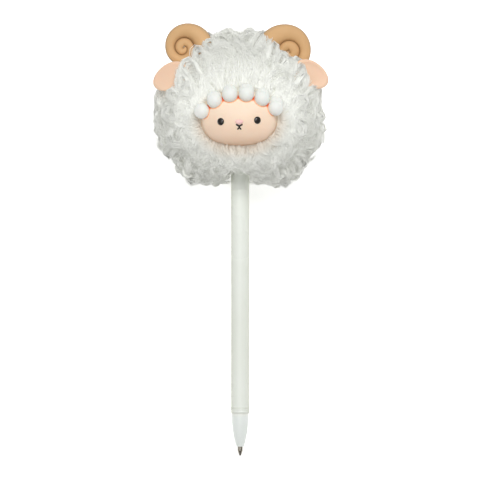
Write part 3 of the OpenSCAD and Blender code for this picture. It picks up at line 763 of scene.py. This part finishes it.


# Locks placed one by one over horns, ears and lower edge: points in x and z, how wide, how far proud
handLoops = [
    ([(-13, 170), (-15.2, 176), (-17, 179.6), (-19.8, 179.8), (-21, 176.8), (-19.6, 173.4)], 0.75, 3.2),
    ([(-9.6, 176), (-11.2, 182), (-13.2, 185.4), (-15.8, 184), (-15.8, 180.6), (-13.4, 178)], 0.9, 3.0),
    ([(-20, 162), (-23, 168), (-25.4, 171.2), (-27.6, 169.4), (-27.4, 165.6), (-25, 162.8)], 1.0, 3.0),
    ([(-15.5, 165), (-18.6, 171), (-22, 174.8), (-25.2, 173.4), (-26.2, 170), (-25.4, 166.6)], 0.85, 3.4),
    ([(-19, 160), (-22.6, 165.6), (-25.4, 168.4), (-28, 167), (-28.2, 163.6), (-26, 161)], 1.0, 2.6),
    ([(-23, 155), (-26.6, 159), (-29.4, 161.2), (-31.6, 160), (-31, 157.4), (-27, 156)], 1.2, 2.0),
    ([(14, 167), (14.8, 173), (17.2, 177.6), (20.2, 176.8), (21.2, 172.6), (20, 168.5)], 0.8, 3.4),
    ([(6, 176), (9, 182), (11.6, 186), (13.6, 184.6), (13.6, 181), (11.6, 177.5)], 1.1, 3.8),
    ([(3.5, 179), (6.4, 183.8), (9.6, 186.6), (11.4, 184.6), (11, 181), (9, 178)], 1.3, 2.2),
    ([(11, 172), (12.4, 178), (14.4, 181.6), (16.4, 180), (16.4, 176), (14.8, 172)], 0.9, 4.5),
    ([(21, 163), (23.5, 168.5), (26, 172), (28.2, 170.8), (28.6, 167), (26.8, 163.6)], 1.1, 4.4),
    ([(18.5, 165), (21, 171.5), (24, 175.4), (27.2, 173.6), (28, 169.6), (26, 166)], 0.85, 4.2),
    ([(22, 160), (25, 164.6), (27.8, 168.2), (29.6, 166.4), (29.4, 163), (27, 160.6)], 1.1, 4.0),
    ([(17, 168), (19, 172.6), (22, 174.8), (24.4, 172.4), (24, 168.6), (21.4, 166)], 1.1, 4.0),
    ([(26, 157), (29.4, 160.6), (32.6, 162.8), (34.4, 161.4), (33.4, 158.6), (30, 157.2)], 1.2, 2.4),
    ([(26, 162), (29, 166), (31.6, 168.6), (34, 170), (33, 167), (30.2, 164.2)], 0.7, 3.4),
    ([(-20, 131), (-22.6, 126.5), (-23.4, 122), (-21, 119.4), (-18.4, 121.4), (-19.2, 124.6)], 1.2, 1.2),
    ([(-12, 132.6), (-15.2, 129.4), (-17.6, 126), (-15.8, 122.6), (-12.8, 123.6), (-12.8, 126.6)], 1.25, 0.9),
    ([(13, 130), (16, 125), (17.4, 120.4), (20.4, 118.8), (22, 121.6), (20, 124.4)], 1.2, 1.2),
    ([(21.5, 134), (24.6, 130.6), (26.2, 127), (28.6, 128.2), (28.6, 131.6), (26, 133)], 1.25, 0.9),
    ([(-26, 137), (-29.4, 134.6), (-31, 131.4), (-33.2, 133), (-32.4, 136.2), (-29.6, 137)], 1.25, 0.9),
    ([(-1, 133), (-3.8, 129.6), (-7.4, 126.6), (-9.8, 128.2), (-8.4, 131), (-5.6, 131)], 1.25, 0.9),
    ([(2, 133), (4.6, 129.4), (8.4, 125.8), (10.8, 127.4), (9.6, 130.4), (6.6, 130.4)], 1.25, 0.9)]

# Round swirls beside the face: x and z of the middle, radius and the angle where each starts
swirls = [(-27.2, 139.9, 5.2, 60), (25.3, 143.3, 5.0, 200), (-23.5, 161.0, 4.4, 120), (27.0, 155.0, 4.6, 300),
          (-30.0, 150.5, 4.6, 20)]

# How swirls turn in, how deep the listed locks start, and how copies of each one scatter
hands = {"swirlTurn": 400, "swirlKnots": 9, "swirlShrink": (1.15, 0.4), "swirlSpread": 1.3, "swirlProud": 2.4,
         "sunk": 0.8, "rootSunk": 3.2, "copies": 3, "scatter": 0.25, "tipScatter": 0.35}


def handLocks():
    loops = list(handLoops)
    for x, z, r, start in swirls:
        turned = np.linspace(0, hands["swirlTurn"], hands["swirlKnots"]) * (1 if x < 0 else -1)
        spiral = np.radians(start + turned)
        width = r * np.linspace(*hands["swirlShrink"], hands["swirlKnots"])
        knots = list(zip(x + width * np.cos(spiral), z + width * np.sin(spiral)))
        loops.append((knots, hands["swirlSpread"], hands["swirlProud"]))
    points = fleece["steps"] + 1
    arch = np.sin(np.linspace(0, math.pi, points))
    sunk = hands["sunk"] + hands["rootSunk"] * np.linspace(1, 0, points) ** 3
    guides = []
    for knots, spread, proud in loops:
        path = alongPath([onFleece(x, z) for x, z in knots], points)
        guides.append(path + np.outer(arch * proud - sunk, [0, -1, 0]))
    return np.stack(guides), np.array([spread for knots, spread, proud in loops])


def edgeCurls():
    count = curls["count"]
    a = np.linspace(0, 2 * math.pi, count, endpoint=False) + rng.normal(0, 0.03, count)
    d = unit(np.stack([np.cos(a) * 1.1, rng.normal(0, 0.16, count) - 0.1, np.sin(a)], -1))
    root = np.array(fleece["centre"]) + d * (fleeceReach(d) - curls["under"])[:, None]
    outward = unit(d / np.array(fleece["half"]) ** 2)
    along = unit(np.stack([-outward[:, 2], np.zeros(count), outward[:, 0]], -1))
    along = along * rng.choice([-1, 1], (count, 1))
    onTop = np.exp(-(root[:, :1, None] / curls["topWide"]) ** 2) * (root[:, 2:, None] > curls["topLow"])
    size = rng.uniform(*curls["size"], (count, 1, 1)) * (1 + curls["wispier"] * onTop)
    turn = np.radians(share * rng.uniform(*curls["turn"], (count, 1)))[..., None]
    back = rng.uniform(-curls["back"], curls["back"], (count, 1, 1)) * turn * np.array([0, 1, 0])
    rolled = np.sin(turn) * curls["long"] * outward[:, None] + (1 - np.cos(turn)) * along[:, None] + back
    path = root[:, None] + size * rolled
    return path[~keptClear(path, 0.4).any(1)]


def rimGuides():
    a = np.radians(np.linspace(*rims["arc"], rims["locks"]))
    size = np.array([face["wide"], face["high"]])
    circle = np.stack([np.cos(a), np.sin(a)], -1)
    rim = np.sign(circle) * np.abs(circle) ** (2 / face["corner"]) * size
    b = np.radians(np.linspace(*rims["browArc"], rims["browLocks"]))
    up = np.stack([np.sin(b), np.cos(b)], -1)
    besideFace = rim * rims["beside"] + [face["centre"][0], face["centre"][2]]
    aboveBeads = up * (fringe["arch"] + rims["above"]) + [0, fringe["middle"][2]]
    flat, out = np.concatenate([besideFace, aboveBeads]), np.concatenate([unit(rim / size ** 2), up])
    flat, out = np.concatenate([flat, flat + out * rims["row"]]), np.concatenate([out, out])
    flat = flat + rng.normal(0, rims["scatter"], flat.shape)
    count = len(flat)
    root = np.stack([onFleece(x, z, -rims["under"]) for x, z in flat])
    outward = np.stack([out[:, 0], np.zeros(count), out[:, 1]], -1)
    heading = unit(outward + np.array([0, -1, 0]) * rng.uniform(0.2, 0.5, (count, 1)))
    calm = np.exp(-((flat[:, :1] / brow["rimWide"]) ** 2)) * (flat[:, 1:] > brow["rimLow"])
    aside = np.cross(outward, [0, 1, 0]) * rng.choice([-1, 1], (count, 1)) * (1 - calm)
    bendTo = unit(aside + np.array([0, 0.9, 0]) * rng.uniform(0.4, 1, (count, 1)))
    length = rng.uniform(*rims["length"], (count, 1))
    turn = np.radians(rng.uniform(*rims["turn"], (count, 1)) * (1 - brow["rimStraighter"] * calm))
    return rolledPaths(root, heading, bendTo, turn * share ** 1.3, length)


# Nothing sticks far out of the outline of the head: tips are combed down on it
def combDown(p, proud):
    away = p - np.array(fleece["centre"])
    size = np.linalg.norm(away, axis=-1, keepdims=True)
    d = away / np.maximum(size, 1e-6)
    reach = fleeceReach(d.reshape(-1, 3)).reshape(size.shape)
    least, more = fleece["room"]
    ratio, knee, room = size / reach, fleece["knee"], least + more * proud
    limited = np.where(ratio > knee, knee + room * (1 - np.exp(-(ratio - knee) / room)), ratio)
    return np.array(fleece["centre"]) + d * reach * limited


# Every strand of every lock: strands lie round their lock's guide and close up towards its tip
def strandPaths():
    front = evenDirections(fleece["frontLocks"] * 2)
    path = lockGuides(np.concatenate([evenDirections(fleece["locks"]), front[front[:, 1] < 0.0]]), fleece)
    clash = keptClear(path, 0.3)
    path = path[(clash.mean(1) < fleece["clash"]) & ~clash[:, 0]]
    rim, edge, (hand, handSpread) = rimGuides(), edgeCurls(), handLocks()
    copies = hands["copies"]
    spread = [np.full(len(path), fleece["spread"]), np.full(len(rim), rims["spread"]),
              np.full(len(edge), curls["spread"]), np.repeat(handSpread, copies)]
    spread = np.concatenate(spread)[:, None, None]
    hand = np.repeat(hand, copies, 0)
    scatter = rng.normal(0, hands["scatter"], (len(hand), 1, 3))
    hand += scatter + rng.normal(0, hands["tipScatter"], (len(hand), 1, 3)) * share[:, None] ** 2
    path = np.concatenate([path, rim, edge, hand])
    ahead = unit(np.gradient(path, axis=1))
    side = unit(np.cross(ahead, unit(path[:, :1] - np.array(fleece["centre"]))))
    over = np.cross(side, ahead)
    count, strands = len(path), strand["count"]
    a = rng.uniform(0, 2 * math.pi, (count, strands, 1))
    r = np.sqrt(rng.uniform(0, 1, (count, strands, 1))) * spread
    loose = rng.uniform(0, 1, (count, strands, 1)) < strand["loose"]
    closing = 0.5 + 0.5 * (1 - share) ** 1.5 + 0.12 * share ** 2
    width = r * np.where(loose, strand["looseWide"], closing)
    waves = share * rng.uniform(*strand["waves"], (count, strands, 1))
    waves = waves + rng.uniform(0, 6.28, (count, strands, 1))
    sway = strand["wave"] * np.sin(waves) * np.where(loose, strand["looseWave"], 1)
    x = width * np.cos(a) + sway
    y = strand["flat"] * width * np.sin(a) + sway * rng.uniform(-1, 1, (count, strands, 1))
    grown = path[:, None] + x[..., None] * side[:, None] + y[..., None] * over[:, None]
    root = grown[:, :, :1]
    grown = root + (grown - root) * rng.uniform(*strand["length"], (count, strands, 1, 1))
    splay = strand["splay"] * rng.normal(0, 1, (count, strands, 1, 3)) * share[:, None] ** 2
    grown += splay * np.minimum(spread[..., None], 2) / 2
    proud = rng.uniform(*strand["lockProud"], (count, 1, 1, 1))
    proud = proud * rng.uniform(*strand["proud"], (count, strands, 1, 1))
    # curls at the edge and the listed locks stand as they are
    free = len(hand) + len(edge)
    return np.concatenate([combDown(grown, proud)[:-free], grown[-free:]]).reshape(-1, len(share), 3)


def fuzzPaths():
    path = lockGuides(evenDirections(fuzz["count"]), fuzz)
    waves = share[:, None] * rng.uniform(*fuzz["waves"], (len(path), 1, 3))
    waves = waves + rng.uniform(0, 6.28, (len(path), 1, 3))
    path += fuzz["wave"] * np.sin(waves)
    path = combDown(path, rng.uniform(*fuzz["proud"], (len(path), 1, 1)))
    return path[~keptClear(path, 0.2).any(1)]


# A thin three-sided tube along each path, closed at both ends and finer towards its tip
def strandSkin(paths, radius):
    count, points = paths.shape[:2]
    ahead = unit(np.gradient(paths, axis=1))
    up = unit(np.cross(ahead, rng.normal(0, 1, (count, 1, 3))))
    side = np.cross(ahead, up)
    thick = radius[:, None] * rng.uniform(0.75, 1.2, (count, 1)) * (1 - 0.55 * share ** 2)
    a = np.radians([90, 210, 330])[:, None]
    section = np.cos(a) * side[:, :, None] + np.sin(a) * up[:, :, None]
    vertices = (paths[:, :, None] + thick[..., None, None] * section).reshape(-1, 3)
    base = (np.arange(count) * points * 3)[:, None, None]
    ring = (np.arange(points - 1) * 3)[None, :, None]
    j = np.arange(3)[None, None]
    k = (j + 1) % 3
    q0, q1, q2, q3 = base + ring + j, base + ring + k, base + ring + 3 + k, base + ring + 3 + j
    start, end = base[:, 0, 0], base[:, 0, 0] + (points - 1) * 3
    faces = [np.stack([q0, q1, q2], -1).reshape(-1, 3), np.stack([q0, q2, q3], -1).reshape(-1, 3),
             np.stack([start + 2, start + 1, start], -1), np.stack([end, end + 1, end + 2], -1)]
    return vertices, np.concatenate(faces)


# White wool: bright fibres, a touch creamier and greyer from lock to lock, with painted light: warmer next to
# the skin of the face as its reflected light and shade, an emitted glow that lifts the shade, less away from
# the middle of the front, and painted shade and stronger bumps from the second argument
def whiteWool(name, depthShade, light, low):
    f = Finish(name)
    cloud = f.limits(f.noise(95, 3, 0.6), 0.32, 0.7)
    fibre = f.limits(f.noise(1500, 2, 0.6, f.stretched((1.0, 1.0, 0.4))), 0.35, 0.75)
    tuft = f.noise(420, 4, 0.7)
    middle = f.limits(f.far([0, -27, 156], (0.6, 1.05, 0.75)), 0.005, 0.036, 1.0, 0.0)
    x, y, z = face["centre"]
    skinBounceShade = f.far([x, y, z - 2.5], (1000 / face["wide"], 1000 / face["high"], 28.0))
    skinBounceShade = f.limits(skinBounceShade, 0.95, 1.38, 1.0, 0.0)
    colour = f.blend(cloud * 0.3 + fibre * 0.25 + depthShade, light, low)
    # painted reflected light and shade: warmer next to the skin of the face
    colour = f.blend(skinBounceShade * 0.55, colour, paint(228, 217, 202))
    # painted light: the wool glows, more in the middle of the front and less next to the face
    glow = f.blend(middle, (0.34, 0.335, 0.31, 1), (0.98, 0.98, 0.95, 1))
    glow = f.blend(skinBounceShade * 0.7, glow, (0.55, 0.47, 0.38, 1))
    return f.close(Base_Color=colour, Roughness=0.62 + fibre * 0.2, Specular_IOR_Level=0.3,
                   Sheen_Weight=0.2, Sheen_Roughness=0.5, Normal=f.bump(tuft, 0.2 + depthShade, 0.0006),
                   Emission_Color=glow, Emission_Strength=fleece["glow"])


# the pad under the locks: painted shade, darker colours and depth, for the shade that falls on it beneath
# them
padWool = whiteWool("wool under", 0.15, paint(228, 229, 224), paint(206, 207, 200))
lockWool = whiteWool("wool locks", 0.0, paint(243, 244, 240), paint(231, 232, 226))
pad = makePiece("fleecePad", *padForm(), padWool, "fleece", ["fleece_cover"], flatten=True)
locks, hairs = strandPaths(), fuzzPaths()
paths = np.concatenate([locks, hairs])
radius = np.concatenate([np.full(len(locks), strand["thick"]), np.full(len(hairs), fuzz["thick"])])

# Strands are shared out over pieces, so that none has more than mostFaces faces
mostFaces = 199000
perPiece = mostFaces // (fleece["steps"] * 6 + 2)
for number, start in enumerate(range(0, len(paths), perPiece)):
    skin = strandSkin(paths[start:start + perPiece], radius[start:start + perPiece])
    makePiece(f"fleeceLocks{number + 1}", *skin, lockWool, "fleece", ["fleece_cover"], flatten=True)
faceCount = sum(len(o.data.polygons) for o in bpy.data.objects if o.type == "MESH")
print("fleece made:", len(paths), "strands;", faceCount, "faces in all")

# Studio: pale table, soft light from two sides, camera square over the pen; metres, apart from the
# camera's sensor and the point of the pen in the middle of the view, which are in millimetres
studio = {"table": 4.0, "white": paint(250, 250, 249), "glow": 0.5, "sky": 0.24,
          "middle": (-0.09, 0.0, 94.9), "far": 8.0, "width": 0.2112, "sensor": 36, "seen": 40, "bounces": 8,
          "aim": (0, 0, 0.02),
          "lights": {"keyLight": ((0.25, 0.5, 1.7), 1.0, 18.9), "fillLight": ((-0.4, -0.3, 1.9), 1.6, 9.8)}}


def studioTable():
    f = Finish("table white")
    cloud = f.limits(f.noise(6, 2), 0.3, 0.7)
    return f.close(Base_Color=f.blend(cloud * 0.3, studio["white"], paint(246, 246, 245)), Roughness=0.9,
                   Emission_Color=(1, 1, 1, 1), Emission_Strength=studio["glow"], Specular_IOR_Level=0.1)


tableMesh = bpy.data.meshes.new("studioTable")
half = studio["table"]
corners = [(-half, -half, 0), (half, -half, 0), (half, half, 0), (-half, half, 0)]
tableMesh.from_pydata(corners, [], [(0, 1, 2, 3)])
tableMesh.materials.append(studioTable())
table = bpy.data.objects.new("studioTable", tableMesh)
bpy.context.scene.collection.objects.link(table)

world = bpy.data.worlds.new("studio air")
bpy.context.scene.world = world
world.use_nodes = True
world.node_tree.nodes["Background"].inputs[0].default_value = (1, 1, 1, 1)
world.node_tree.nodes["Background"].inputs[1].default_value = studio["sky"]


def softLight(name, place, size, power):
    lamp = bpy.data.lights.new(name, "AREA")
    lamp.shape, lamp.size, lamp.energy = "DISK", size, power
    light = bpy.data.objects.new(name, lamp)
    light.location = place
    light.rotation_euler = (Vector(studio["aim"]) - Vector(place)).to_track_quat("-Z", "Y").to_euler()
    bpy.context.scene.collection.objects.link(light)


for name, (place, size, power) in studio["lights"].items():
    softLight(name, place, size, power)

middle = Vector(layDown(studio["middle"]).tolist())
back = Vector(faceWay)
up = Vector((0, math.cos(lean), math.sin(lean)))
lens = bpy.data.cameras.new("photoCamera")
lens.sensor_width = studio["sensor"]
lens.lens = studio["sensor"] * studio["far"] / studio["width"]
lens.clip_end = studio["seen"]
camera = bpy.data.objects.new("photoCamera", lens)
camera.matrix_world = Matrix((up.cross(back), up, back)).transposed().to_4x4()
camera.matrix_world.translation = middle + back * studio["far"]
bpy.context.scene.collection.objects.link(camera)
bpy.context.scene.camera = camera
bpy.context.scene.view_settings.view_transform = "Standard"
bpy.context.scene.cycles.diffuse_bounces = studio["bounces"]
print("studio set")
